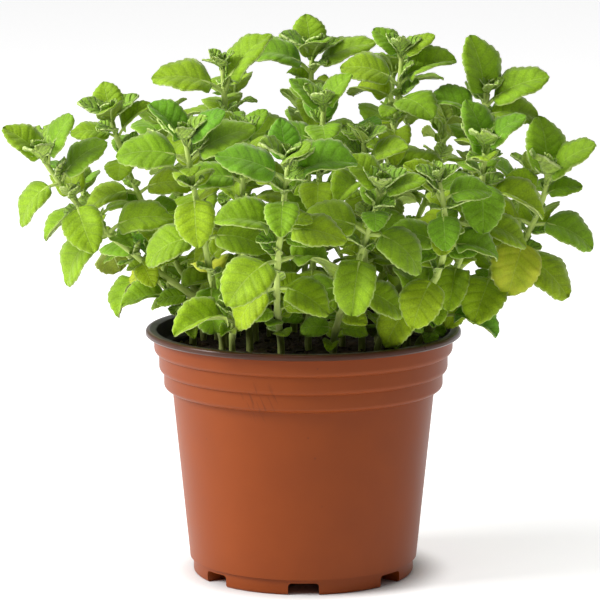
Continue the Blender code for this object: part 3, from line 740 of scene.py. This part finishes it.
# Small leaves: a rosette of young upright ones at each tip, young pairs in the axils of the large leaves,
# and small pairs down the bare stretches of stem, each where there is still room. A rosette is given as
# its leaves' way down from the tip in millimetres, turn, share of the first pair's length, and lift.
ROSETTE = ((0.6, 90, 0.78, 30), (-0.5, 0, 0.58, 44), (-1.4, 90, 0.42, 58), (-2.2, 0, 0.28, 74))
ROSETTE_LEAST = 10
AXIL_RISE = 1.2 * MM
AXIL_TURN = (28, 60)
AXIL_LIFT = (30, 60)
AXIL_LENGTH = (5, 10.5)
AXIL_SIZES = (1, 0.8, 0.62, 0.46)
AXIL_SMALLEST = 2.2 * MM
EXTRA_FIRST = 12
EXTRA_SPACING = (8, 12)
EXTRA_LIFT = (-25, 35)
EXTRA_LENGTH = (8, 13)
EXTRA_SIZES = (1, 0.85, 0.7, 0.58)
EXTRA_SMALLEST = 6 * MM
GROWN_LENGTH = 8.5 * MM
GROWN_RANK = 3
chance = Random(11)
young = {shoot.name: [] for shoot in SHOOTS}
for shoot in SHOOTS:
    tip, stem_way = node_on_stem(shoot, 0)
    axis = (stem_way + Vector((0, 0, 1))).normalized()
    first = shoot.pairs[0]
    for down, turn, share, lift in ROSETTE:
        for half in (0, 180):
            origin = tip - stem_way * down * MM
            length = share * max(ROSETTE_LEAST, first.length) * MM * chance.uniform(0.9, 1.1)
            young[shoot.name].append(Leaf(origin, axis, light_way(origin), first.turn + turn + half,
                                          lift + chance.uniform(-6, 6), length))

for shoot in SHOOTS:
    line = stem_line(shoot, STEM_POINTS)
    stem_length = sum((upper - lower).length for upper, lower in zip(line, line[1:]))
    for leaf, rank in list(grown[shoot.name]):
        if rank == 0:
            continue
        for side in (-1, 1):
            origin = leaf.origin + leaf.axis * AXIL_RISE
            wish = Leaf(origin, leaf.axis, light_way(origin), leaf.turn + side * chance.uniform(*AXIL_TURN),
                        chance.uniform(*AXIL_LIFT), chance.uniform(*AXIL_LENGTH) * MM)
            small = settle(wish, (shoot.name, "axil", rank, leaf.turn), AXIL_SIZES, AXIL_SMALLEST,
                           (shoot.name, rank))
            if small:
                young[shoot.name].append(small)
    down = EXTRA_FIRST
    while down * MM < stem_length - ROOT_DEPTH - 6 * MM:
        origin, stem_way = node_on_stem(shoot, down * MM)
        if origin.z < soil_height(0) + LOWEST_NODE:
            break
        axis = (stem_way + Vector((0, 0, 1))).normalized()
        turn = chance.uniform(0, 180)
        for half in (0, 180):
            wish = Leaf(origin, axis, light_way(origin), turn + half, chance.uniform(*EXTRA_LIFT),
                        chance.uniform(*EXTRA_LENGTH) * MM)
            extra = settle(wish, (shoot.name, "extra", down, half), EXTRA_SIZES, EXTRA_SMALLEST)
            if extra and extra.length > GROWN_LENGTH:
                grown[shoot.name].append((extra, GROWN_RANK))
            elif extra:
                young[shoot.name].append(extra)
        down += chance.uniform(*EXTRA_SPACING)

# ---------------------------------------------------------------------------------------------------
# Leaf models. A blade is broad and egg-shaped with a rounded base and forward-pointing blunt teeth,
# velvety and a little quilted between its veins. It stands on a round stalk that runs on under it as
# the midrib. A few kinds are modelled, and every leaf on the plant is a copy of one, bent its own way.

LEAF_KINDS = 8
YOUNG_KINDS = 4
TEETH = 8
STATIONS = 3 * TEETH
HALF_COLUMNS = 3
BASE_ROUND = 0.42
YOUNG_POINT = 0.7

# Shares of a blade's length. A tooth takes three stations, whose depths and forward lean are given.
TOOTH_DEPTH = 0.03
TOOTH_SHAPE = (0, 0.8, 1)
TOOTH_LEAN = (0, 0, 0.4)
BLADE_THICKNESS = 0.018
SIDE_VEINS = 5.5
VEIN_LEAN = 0.22
QUILT_RISE = 0.0704
CRUMPLE_RISE = 0.02
GUTTER_DEPTH = 0.012
EDGE_DROP = 0.03
RIB_SIZE = 0.036
STALK_DEPTH = -0.014
RIB_DEPTH = -0.036

# The stalk and midrib, from the stem to near the blade's tip, as (share, share of its radius).
RIB = ((-PETIOLE - 0.02, 1.15), (-0.2, 1), (-0.1, 0.95), (0, 0.9), (0.15, 0.8), (0.35, 0.62), (0.6, 0.42),
       (0.9, 0.2))

YOUNG_STATIONS = (-PETIOLE, -0.02, 0.08, 0.24, 0.4, 0.56, 0.72, 0.88, 1)
YOUNG_THICKNESS = 0.06
YOUNG_STALK = 0.045
YOUNG_TOOTH = 0.045
YOUNG_TIP = 0.05

# Size of the lighter and darker patches in the green of a leaf.
PATCH_SIZE = 7 * MM


def blade_half_width(share, point):
    """Half width of a blade at a share of its length, in lengths, without its teeth. A larger point
    gives a more pointed tip."""
    share = min(1, max(0, share))
    widest = BASE_ROUND / (BASE_ROUND + point)
    full = widest ** BASE_ROUND * (1 - widest) ** point
    return LEAF_WIDTH / 2 * share ** BASE_ROUND * (1 - share) ** point / full


def add_blade(name, stations, half_columns):
    """A flat grid for a blade, and its vertices with their station and their share of the half width."""
    pick()
    bpy.ops.mesh.primitive_grid_add(x_subdivisions=stations, y_subdivisions=2 * half_columns, size=1)
    blade = bpy.context.object
    blade.name = name
    spots = [(vert, round((vert.co.x + 0.5) * stations),
              (round((vert.co.y + 0.5) * 2 * half_columns) - half_columns) / half_columns)
             for vert in blade.data.vertices]
    return blade, spots


def smooth_all(item):
    item.data.polygons.foreach_set("use_smooth", [True] * len(item.data.polygons))


def give_skins(blade, thickness, skins):
    """Give a blade its thickness, with the first skin above, and the second below and round its edge."""
    skin = blade.modifiers.new("thickness", "SOLIDIFY")
    skin.thickness = thickness
    skin.offset = -1
    skin.material_offset = 1
    skin.material_offset_rim = 1
    for material in skins:
        blade.data.materials.append(material)
    bpy.ops.object.modifier_apply(modifier="thickness")
    smooth_all(blade)


def model_leaf(name, kind):
    """A flat leaf one length long, from the end of its stalk at -PETIOLE to its tip at 1."""
    shaping = Random(100 + kind)
    phase = shaping.uniform(0, 6.3)
    width = shaping.uniform(0.93, 1.04)
    crumple = CRUMPLE_RISE * shaping.uniform(0.6, 1.3)
    point = shaping.uniform(0.48, 0.72)
    blade, spots = add_blade(name, STATIONS, HALF_COLUMNS)
    for vert, station, out in spots:
        share = station / STATIONS
        half = blade_half_width(share, point) * width
        along = share
        if abs(out) == 1 and 0.2 < share < 0.97:
            tooth = TOOTH_SHAPE[station % 3] * (0.55 if share < 0.35 else 1)
            half += TOOTH_DEPTH * tooth * (1.15 - 0.75 * share)
            along += TOOTH_LEAN[station % 3] / STATIONS
        along -= 0.06 * abs(out) ** 2 * max(0, 1 - 4 * share)
        vein = abs(sin(pi * SIDE_VEINS * (share - VEIN_LEAN * abs(out)))) ** 0.8
        rise = QUILT_RISE * vein * abs(out) * (1 - out * out)
        rise += crumple * out * out * sin(12.5 * share + phase + (2 if out > 0 else 0))
        rise -= GUTTER_DEPTH * max(0, 1 - 3 * abs(out)) + EDGE_DROP * abs(out) ** 3
        vert.co = (along, out * half, rise)
    give_skins(blade, BLADE_THICKNESS, (leaf_skin, leaf_back, stalk_skin))
    places = [(share, 0, STALK_DEPTH if share <= 0 else RIB_DEPTH) for share, size in RIB]
    rib = draw_tube(f"{name}_rib", places, [size for share, size in RIB], RIB_SIZE, 1)
    for material in blade.data.materials:
        rib.data.materials.append(material)
    for face in rib.data.polygons:
        face.material_index = 2
    smooth_all(rib)
    join_into(blade, rib)
    return blade


def model_young_leaf(name, kind):
    """A small wrinkled leaf, cupped upwards, with its short stalk drawn out of the blade."""
    phase = Random(200 + kind).uniform(0, 6.3)
    last = len(YOUNG_STATIONS) - 1
    blade, spots = add_blade(name, last, 2)
    for vert, station, out in spots:
        share = YOUNG_STATIONS[station]
        half = max(YOUNG_STALK, blade_half_width(share, YOUNG_POINT) * 0.92)
        if station == last:
            half = YOUNG_TIP
        elif abs(out) == 1 and station > 2:
            half += YOUNG_TOOTH * (station % 2)
        rise = 0.05 * out * out + 0.035 * sin(9 * share + phase + 5 * out) * (share > 0) - 0.03 * (out == 0)
        vert.co = (share, out * half, rise)
    give_skins(blade, YOUNG_THICKNESS, (bud_skin, bud_back))
    return blade


def velvet(name, hexes, vein_share, grain_size, grain_rise, **sockets):
    """Leaf skin: short soft hairs over green, paler on the midrib, the side veins and the margin. Its
    three colours are those of young leaves, old leaves and veins. The attribute tone runs from 0 on a
    young leaf to 1 on an old one and 2 on a yellow one, and the UV map follows the blade."""
    young_hex, old_hex, vein_hex = hexes
    material, shader = new_material(name, **sockets)
    spot = add_node(material, "UVMap", {}, uv_map="UVMap")
    along, sideways = add_node(material, "SeparateXYZ", {"Vector": spot}).outputs[:2]
    place = add_node(material, "TexCoord", {}).outputs["Object"]
    tone = add_node(material, "Attribute", {}, attribute_name="tone").outputs["Fac"]
    base = add_node(material, "MixRGB", {"Fac": tone, "Color1": young_hex, "Color2": old_hex})

    # Veins and margin. The distance from the midrib is 0.5 at the margin.
    out = add_node(material, "Math", {0: sideways, 1: 0.5}, operation="SUBTRACT")
    out = add_node(material, "Math", {0: out}, operation="ABSOLUTE")
    lean = add_node(material, "Math", {0: out, 1: -2 * VEIN_LEAN, 2: along}, operation="MULTIPLY_ADD")
    wave = add_node(material, "Math", {0: lean, 1: 0.5 / SIDE_VEINS}, operation="PINGPONG")
    side_vein = add_node(material, "MapRange", {"Value": wave, "From Max": 0.015, "To Min": 0.4,
                                                "To Max": 0})
    midrib = add_node(material, "MapRange", {"Value": out, "From Min": 0.006, "From Max": 0.02,
                                             "To Min": 1, "To Max": 0})
    veins = add_node(material, "Math", {0: side_vein, 1: midrib}, operation="MAXIMUM")
    shown = add_node(material, "Math", {0: veins, 1: vein_share}, operation="MULTIPLY")
    base = add_node(material, "MixRGB", {"Fac": shown, "Color1": base, "Color2": vein_hex})
    margin = add_node(material, "MapRange", {"Value": out, "From Min": 0.455, "From Max": 0.5,
                                             "To Max": 0.65})
    base = add_node(material, "MixRGB", {"Fac": margin, "Color1": base, "Color2": vein_hex})

    # Cloudy patches, hairs, and painted shade that darkens the grooves along the side veins.
    patches = add_node(material, "TexNoise", {"Vector": place, "Scale": 1 / PATCH_SIZE, "Detail": 3})
    patch = add_node(material, "MapRange", {"Value": patches, "From Min": 0.35, "From Max": 0.65,
                                            "To Min": 0.86, "To Max": 1.12})
    hairs = add_node(material, "TexNoise", {"Vector": place, "Scale": 1 / grain_size, "Detail": 2})
    hair = add_node(material, "MapRange", {"Value": hairs, "From Min": 0.3, "From Max": 0.7,
                                           "To Min": 0.8, "To Max": 1.18})
    quilt = add_node(material, "MapRange", {"Value": wave, "From Max": 0.3 / SIDE_VEINS},
                     interpolation_type="SMOOTHSTEP")
    # Painted shade: the green is darkened in the grooves along the side veins, where shade would fall.
    painted_groove_shade = add_node(material, "MapRange", {"Value": quilt, "To Min": 0.93, "To Max": 1.03})
    shade = add_node(material, "Math", {0: patch, 1: hair}, operation="MULTIPLY")
    shade = add_node(material, "Math", {0: shade, 1: painted_groove_shade}, operation="MULTIPLY")
    base = add_node(material, "VectorMath", {0: base, "Scale": shade}, operation="SCALE")

    # The few yellowing leaves turn in blotches.
    yellow = add_node(material, "MapRange", {"Value": tone, "From Min": 1.0, "From Max": 2.0})
    blotch = add_node(material, "MapRange", {"Value": patches, "From Min": 0.38, "From Max": 0.6,
                                             "To Min": 0.35, "To Max": 1})
    fade = add_node(material, "Math", {0: yellow, 1: blotch}, operation="MULTIPLY")
    base = add_node(material, "MixRGB", {"Fac": fade, "Color1": base, "Color2": "#C6C23C"})

    height = add_node(material, "Math", {0: midrib, 1: -0.9, 2: hairs}, operation="MULTIPLY_ADD")
    height = add_node(material, "Math", {0: quilt, 1: 1.2, 2: height}, operation="MULTIPLY_ADD")
    bump = add_node(material, "Bump", {"Height": height, "Strength": grain_rise,
                                       "Distance": 0.5 * grain_size})
    finish_material(material, shader, base, None, bump)
    return material


# Leaf skins. The real hairs are about 0.1 mm apart, too fine to show, so they are drawn coarser. Under
# a leaf they stand thicker, which makes it paler and more matt. Young leaves are wrinkled all over.
HAIR_SPACING = 0.6 * MM
WRINKLE_SIZE = 1.1 * MM
leaf_skin = velvet("velvety_leaf", ("#60981A", "#97B214", "#BED27C"), 0.2, HAIR_SPACING, 0.4,
                   Roughness=0.62, Specular_IOR_Level=0.2,
                   Sheen_Weight=0.36, Sheen_Roughness=0.4, Sheen_Tint="#EEF4CE")
leaf_back = velvet("downy_leaf_back", ("#86A52E", "#A0B43A", "#BFD07C"), 0.45, HAIR_SPACING, 0.4,
                   Roughness=0.8, Specular_IOR_Level=0.25,
                   Sheen_Weight=0.3, Sheen_Roughness=0.5, Sheen_Tint="#EEF6D2")
bud_skin = velvet("wrinkled_young_leaf", ("#84B030", "#98BC3C", "#C6DA84"), 0.45, WRINKLE_SIZE, 0.9,
                  Roughness=0.68, Specular_IOR_Level=0.3,
                  Sheen_Weight=0.25, Sheen_Roughness=0.45, Sheen_Tint="#E6F5C4")
bud_back = velvet("downy_young_leaf_back", ("#A0C04A", "#B2CA5C", "#D3E29A"), 0.5, WRINKLE_SIZE, 0.9,
                  Roughness=0.8, Specular_IOR_Level=0.25,
                  Sheen_Weight=0.22, Sheen_Roughness=0.5, Sheen_Tint="#EEF6CC")

# Stem and stalk skin: soft and downy, pale yellow-green, browner and woodier down by the soil.
STREAK_SIZE = 2.5 * MM
STALK_HAIR_SPACING = 0.5 * MM
stalk_skin, shader = new_material("downy_stem", Roughness=0.75, Specular_IOR_Level=0.3, Sheen_Weight=0.5,
                                  Sheen_Roughness=0.4, Sheen_Tint="#F0F7D0")
place = add_node(stalk_skin, "TexCoord", {}).outputs["Object"]
upward = add_node(stalk_skin, "SeparateXYZ", {"Vector": place}).outputs[2]
streaks = add_node(stalk_skin, "TexNoise", {"Vector": place, "Scale": 1 / STREAK_SIZE, "Detail": 3})
green = add_node(stalk_skin, "MixRGB", {"Fac": streaks, "Color1": "#A9C44A", "Color2": "#CDDC86"})
wood = add_node(stalk_skin, "MapRange", {"Value": upward, "From Min": POT_HEIGHT - 8 * MM,
                                         "From Max": POT_HEIGHT + 26 * MM, "To Min": 0.8, "To Max": 0})
base = add_node(stalk_skin, "MixRGB", {"Fac": wood, "Color1": green, "Color2": "#6E7034"})
hairs = add_node(stalk_skin, "TexNoise", {"Vector": place, "Scale": 1 / STALK_HAIR_SPACING, "Detail": 2})
bump = add_node(stalk_skin, "Bump", {"Height": hairs, "Strength": 0.5, "Distance": 0.25 * MM})
finish_material(stalk_skin, shader, base, None, bump)

leaf_models = [model_leaf(f"leaf_model_{kind}", kind) for kind in range(LEAF_KINDS)]
young_models = [model_young_leaf(f"young_leaf_model_{kind}", kind) for kind in range(YOUNG_KINDS)]

BEND_STEPS = 24
DROOP_START = 0.3
FOLD_START = 0.15


def hang(model, leaf, tone, fold, wring, droop):
    """Copy a leaf model, bend it along the leaf's line, and set it on its stem. In degrees, fold lifts
    its two halves about the midrib, wring twists it, and droop bends its outer part down."""
    copy = copy_of(model)
    count = len(copy.data.vertices)
    flat = np.empty(count * 3, np.float32)
    copy.data.vertices.foreach_get("co", flat)
    flat = flat.reshape(-1, 3).astype(float)
    total = (1 + PETIOLE) * leaf.length
    middles = (np.arange(BEND_STEPS) + 0.5) / BEND_STEPS
    slopes = np.array([leaf_slope(leaf, share) for share in middles])
    slopes -= radians(droop) * np.clip(middles - DROOP_START, 0, None)
    line_x = np.concatenate([[0], np.cumsum(np.cos(slopes))]) * total / BEND_STEPS
    line_z = np.concatenate([[0], np.cumsum(np.sin(slopes))]) * total / BEND_STEPS
    knots = np.linspace(0, 1, BEND_STEPS + 1)
    share = (flat[:, 0] + PETIOLE) / (1 + PETIOLE)
    inner = np.clip(share, 0, 1)
    slope = np.interp(share, middles, slopes)
    blade = np.clip(flat[:, 0] / FOLD_START, 0, 1)
    across = flat[:, 1] * leaf.length
    rise = flat[:, 2] * leaf.length + np.abs(across) * sin(radians(fold)) * blade
    rise += across * tan(radians(wring)) * blade * inner
    across *= cos(radians(fold)) * blade + 1 - blade
    x = np.interp(inner, knots, line_x) + (share - inner) * total - rise * np.sin(slope)
    z = np.interp(inner, knots, line_z) + rise * np.cos(slope)
    bent = np.stack([x, across, z], 1).astype(np.float32)
    copy.data.vertices.foreach_set("co", bent.ravel())
    copy.data.transform(leaf_matrix(leaf))
    tones = copy.data.attributes.new("tone", "FLOAT", "POINT")
    tones.data.foreach_set("value", np.full(count, tone, np.float32))
    return copy


# ---------------------------------------------------------------------------------------------------
# Rooted shoots. Each grew as one piece: a downy stem, thickened where a pair of leaves leaves it, with
# its stalked leaves, axil leaves and tip rosette. It is rooted 12 mm deep in the soil.

STEM_FINE_POINTS = 46
STEM_THICK = 1.5 * MM
STEM_THIN = 0.95 * MM
NODE_SWELL = 0.3
NODE_LENGTH = 1.8 * MM

# Yellowing leaves stand only low on a shoot. Folds, wrings and droops are in degrees; one leaf in four
# is folded further, and so is every leaf that lies low over the rim.
TONE_BY_RANK = 0.1
TONE_SPREAD = 0.7
YELLOW_RANK = 3
YELLOW_SHARE = 0.08
YELLOW_TONE = (1.4, 1.9)
FOLD = (3, 14)
MORE_FOLD = (0, 0, 0, 24)
LOW_FOLD = 34
WRING = 9
DROOP = (-14, 26)
YOUNG_TONE = 0.8
YOUNG_FOLD = (4, 20)
YOUNG_DROOP = 8

chance = Random(23)
for shoot in SHOOTS:
    line = stem_line(shoot, STEM_FINE_POINTS)
    nodes = [leaf.origin for leaf, rank in grown[shoot.name]]
    radii = []
    for number, point in enumerate(line):
        radius = STEM_THICK + (STEM_THIN - STEM_THICK) * number / (len(line) - 1)
        nearest = min(((point - node).length for node in nodes), default=1)
        radii.append(radius * (1 + NODE_SWELL * exp(-((nearest / NODE_LENGTH) ** 2))) / STEM_THICK)
    stem = draw_tube(f"leafy_{shoot.name}", line, radii, STEM_THICK, 3)
    stem.data.materials.append(stalk_skin)
    smooth_all(stem)
    copies = []
    for leaf, rank in grown[shoot.name]:
        tone = min(1, TONE_BY_RANK * rank + chance.uniform(0, TONE_SPREAD))
        if rank > YELLOW_RANK and chance.random() < YELLOW_SHARE:
            tone = chance.uniform(*YELLOW_TONE)
        fold = chance.uniform(*FOLD)
        fold += LOW_FOLD if "low_" in shoot.name else chance.choice(MORE_FOLD)
        model = leaf_models[chance.randrange(LEAF_KINDS)]
        wring = chance.uniform(-WRING, WRING)
        copies.append(hang(model, leaf, tone, fold, wring, chance.uniform(*DROOP)))
    for leaf in young[shoot.name]:
        model = young_models[chance.randrange(YOUNG_KINDS)]
        tone = chance.uniform(0, YOUNG_TONE)
        fold = chance.uniform(*YOUNG_FOLD)
        copies.append(hang(model, leaf, tone, fold, 0, chance.uniform(-YOUNG_DROOP, YOUNG_DROOP)))
    join_into(stem, *copies)
    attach(stem, "root")
    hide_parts(shoot.name)

for model in leaf_models + young_models:
    bpy.data.objects.remove(model, do_unlink=True)

# ---------------------------------------------------------------------------------------------------
# Studio: a white floor that fills the view and glows, with a painted shadow round the pot, a surround that
# is dim in front and bright behind, one large soft window light from the left, a weak light from above the
# front, and the camera.

FLOOR_SIZE = 24
# Painted shadow round the pot: the floor's glow is nothing within the first radius and full past the second.
PAINTED_SHADOW_RADIUS = 44 * MM
FULL_GLOW_RADIUS = 64 * MM
FLOOR_GLOW = 0.54
SURROUND_FRONT = 0.09
SURROUND_BACK = 0.68
pick()
bpy.ops.mesh.primitive_plane_add(size=FLOOR_SIZE)
studio_floor = bpy.context.object
studio_floor.name = "studio_floor"

# The floor glows, a painted light, so it comes out pure white; the glow fades to nothing towards the pot's
# foot, a painted shadow round the pot.
floor_paint, shader = new_material("white_studio_floor", Base_Color="#EDEDED", Roughness=0.7,
                                   Emission_Color="#FFFFFF")
place = add_node(floor_paint, "TexCoord", {}).outputs["Object"]
away = add_node(floor_paint, "VectorMath", {0: place}, operation="LENGTH").outputs["Value"]
floor_glow_with_painted_shadow = add_node(floor_paint, "MapRange", {"Value": away, "From Min": PAINTED_SHADOW_RADIUS, "From Max": FULL_GLOW_RADIUS,
                                             "To Max": FLOOR_GLOW}, interpolation_type="SMOOTHSTEP")
floor_paint.node_tree.links.new(floor_glow_with_painted_shadow.outputs[0], shader.inputs["Emission Strength"])
studio_floor.data.materials.append(floor_paint)

surround = bpy.data.worlds.new("pale_surround")
bpy.context.scene.world = surround
surround.use_nodes = True
way = add_node(surround, "TexCoord", {}).outputs["Generated"]
backward = add_node(surround, "SeparateXYZ", {"Vector": way}).outputs[1]
glow = add_node(surround, "MapRange", {"Value": backward, "From Min": -0.8, "From Max": 0.8,
                                       "To Min": SURROUND_FRONT, "To Max": SURROUND_BACK})
background = surround.node_tree.nodes["Background"]
surround.node_tree.links.new(glow.outputs[0], background.inputs["Strength"])
background.inputs["Color"].default_value = paint("#FFFFFF")


def soft_light(name, place, target, size, power):
    """A square area light that looks at a target."""
    data = bpy.data.lights.new(name, "AREA")
    data.size = size
    data.energy = power
    item = bpy.data.objects.new(name, data)
    bpy.context.collection.objects.link(item)
    item.location = place
    item.rotation_euler = (Vector(target) - Vector(place)).to_track_quat("-Z", "Y").to_euler()


soft_light("window_light", place=(-1.75, -0.45, 1.25), target=(0, 0, 0.12), size=1.0, power=52)
soft_light("fill_light", place=(-0.4, -1.0, 2.0), target=(0, 0, 0.16), size=1.2, power=11.5)

LENS = 195.42
SENSOR_WIDTH = 36
AIM = Vector((-0.0014, 0, 0.1134))
CAMERA_DISTANCE = 1.3416
CAMERA_RISE = radians(9.27)
lens = bpy.data.cameras.new("camera")
lens.lens = LENS
lens.sensor_width = SENSOR_WIDTH
camera = bpy.data.objects.new("camera", lens)
bpy.context.collection.objects.link(camera)
camera.location = AIM + CAMERA_DISTANCE * Vector((0, -cos(CAMERA_RISE), sin(CAMERA_RISE)))
camera.rotation_euler = (AIM - camera.location).to_track_quat("-Z", "Y").to_euler()
bpy.context.scene.camera = camera
bpy.context.scene.view_settings.view_transform = "Standard"

bpy.context.view_layer.update()
